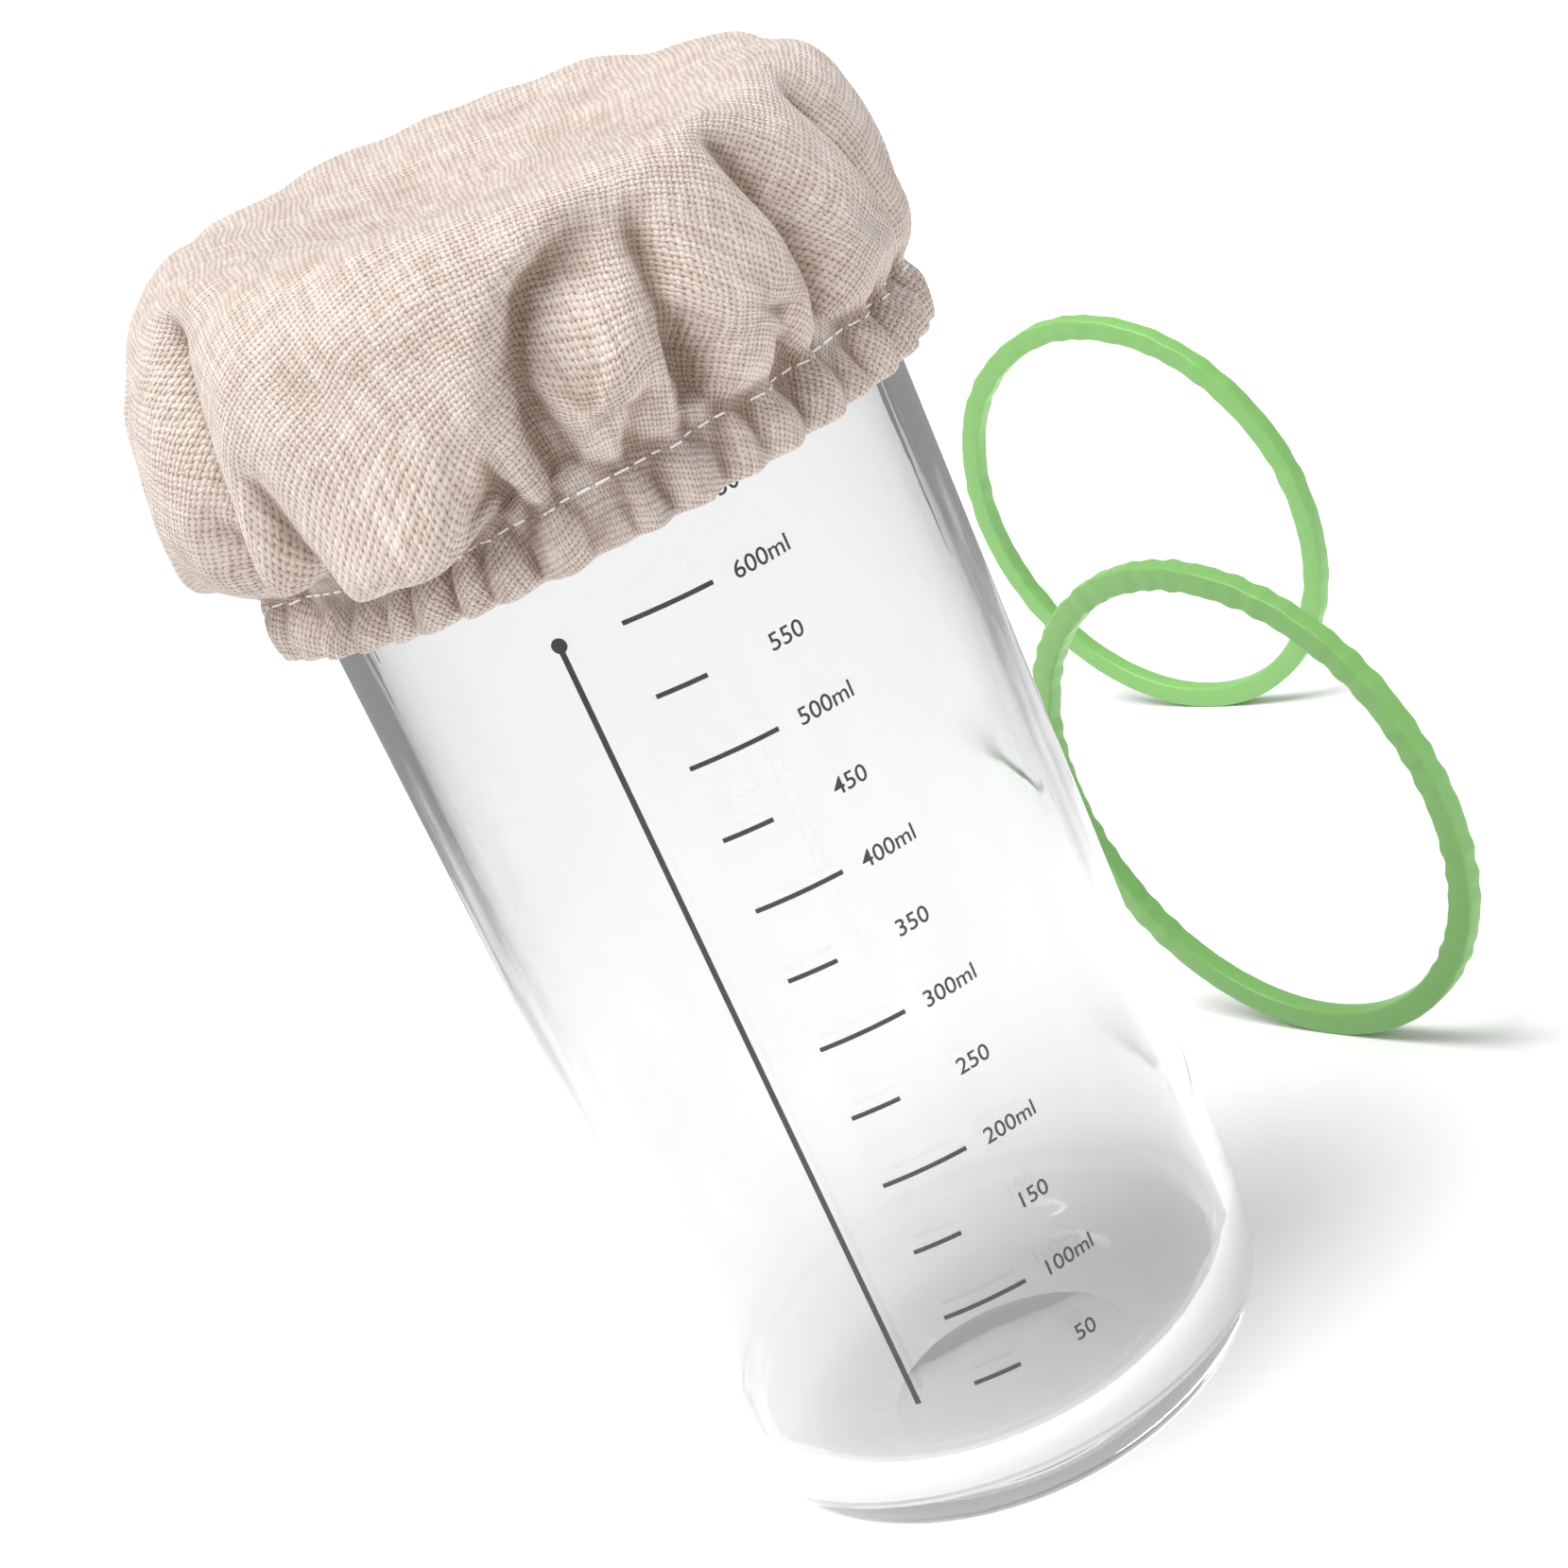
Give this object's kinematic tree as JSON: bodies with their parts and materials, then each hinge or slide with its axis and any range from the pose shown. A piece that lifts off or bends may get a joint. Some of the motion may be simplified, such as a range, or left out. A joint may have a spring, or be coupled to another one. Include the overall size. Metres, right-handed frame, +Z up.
{
  "type": "sourdough starter jar",
  "caption": "Straight clear glass jar with a printed volume scale, an elasticated gathered cloth cap, and two loose silicone marker bands.",
  "frame": {"origin": "centre of the jar's standing ring, on the surface that it rests on", "axes": "+Z up along the jar's axis, -Y towards the side with the printed scale, +X to the right as seen from there"},
  "size_m": [0.1785, 0.3012, 0.2018],
  "materials": {
    "clear_glass": "polished clear soda-lime glass",
    "natural_linen": "coarse plain weave",
    "elastic": "woven elastic",
    "green_silicone": "matte silicone",
    "thread": "cotton sewing thread",
    "scale_ink": "fired dark grey ink"
  },
  "bodies": {
    "jar": {"glass_jar": "clear_glass"},
    "cover": {"cloth_cover": "natural_linen", "hem_elastic": "elastic"},
    "lower_band": {"lower_band": "green_silicone"},
    "upper_band": {"upper_band": "green_silicone"}
  },
  "joints": [
    {"name": "cover_lift", "type": "slide", "parent": "jar", "child": "cover", "axis": [0, 0, 1], "range_m": [0, 0.1]},
    {"name": "lower_band_pick_up", "type": "slide", "parent": "jar", "child": "lower_band", "axis": [0, 0, 1], "range_m": [0, 0.1]},
    {"name": "upper_band_pick_up", "type": "slide", "parent": "jar", "child": "upper_band", "axis": [0, 0, 1], "range_m": [0, 0.1]}
  ]
}
